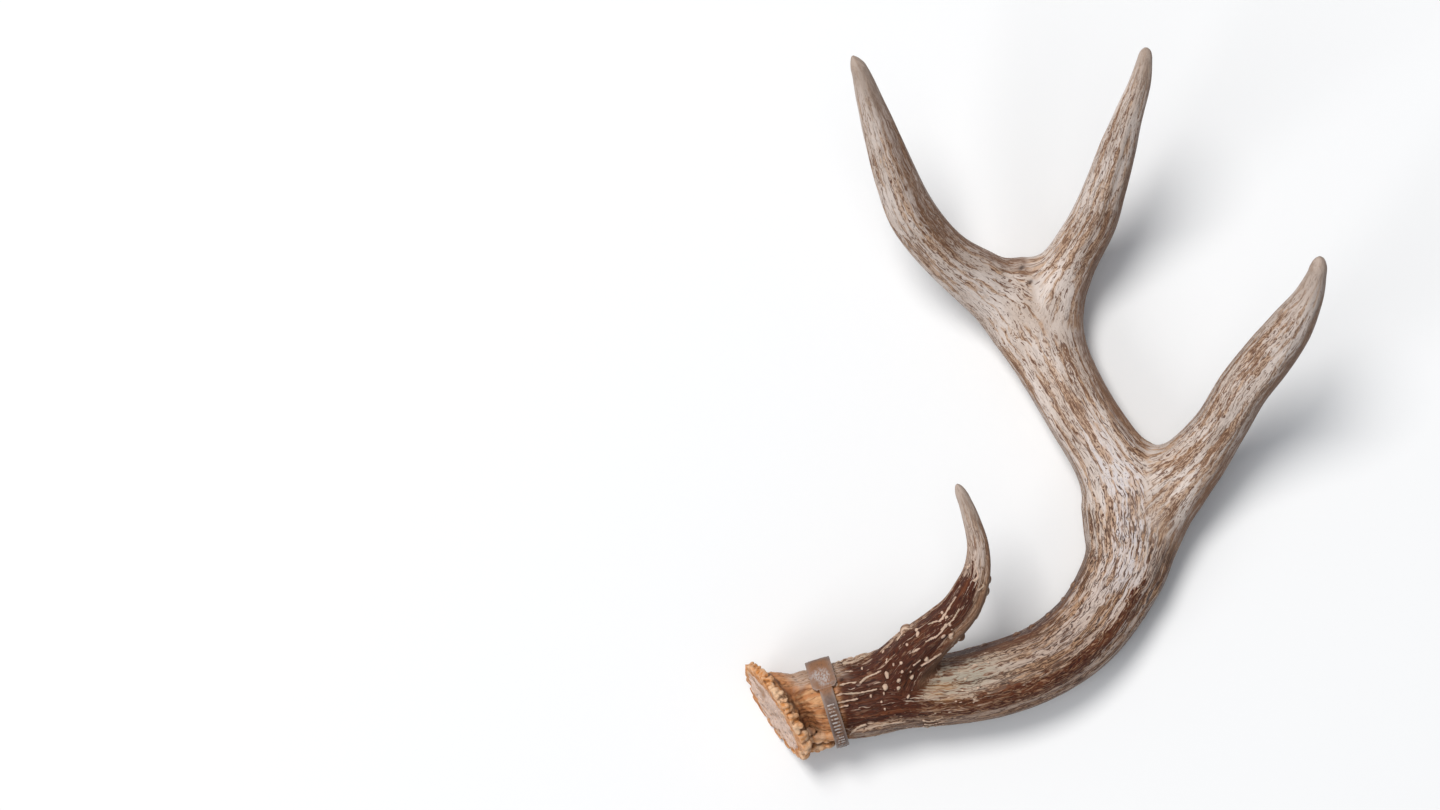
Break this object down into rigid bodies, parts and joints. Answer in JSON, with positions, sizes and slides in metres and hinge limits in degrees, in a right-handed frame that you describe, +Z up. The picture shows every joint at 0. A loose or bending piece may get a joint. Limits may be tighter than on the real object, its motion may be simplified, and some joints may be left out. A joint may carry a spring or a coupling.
{
  "type": "deer antler",
  "caption": "Cast or cut deer antler with a knobbly burr, brow tine, upright tines and a curved main beam, with a bare plastic identification band round its neck.",
  "frame": {"origin": "middle of the part's box, on the surface it lies on", "axes": "+Z up from the surface, through the tines' upward curve; +Y along the longest extent, from the burr's side to the tips of the upper tines; +X from the burr towards the bend"},
  "size_m": [0.2486, 0.3138, 0.1261],
  "materials": {
    "antler_base": "dark reddish brown antler with cream pearls, satin",
    "antler_beam": "tan antler streaked lengthwise with brown, satin",
    "antler_tine": "pale grey-beige antler with fine brown streaks, satin",
    "band_plastic": "tan plastic with worn grey ladder ridges, matte"
  },
  "bodies": {
    "root": {"base_stem": "antler_base", "brow_tine": "antler_base", "main_beam": "antler_beam", "second_tine": "antler_tine", "upper_beam": "antler_tine", "third_tine": "antler_tine", "beam_tip": "antler_tine", "tag_band": "band_plastic"}
  },
  "joints": []
}
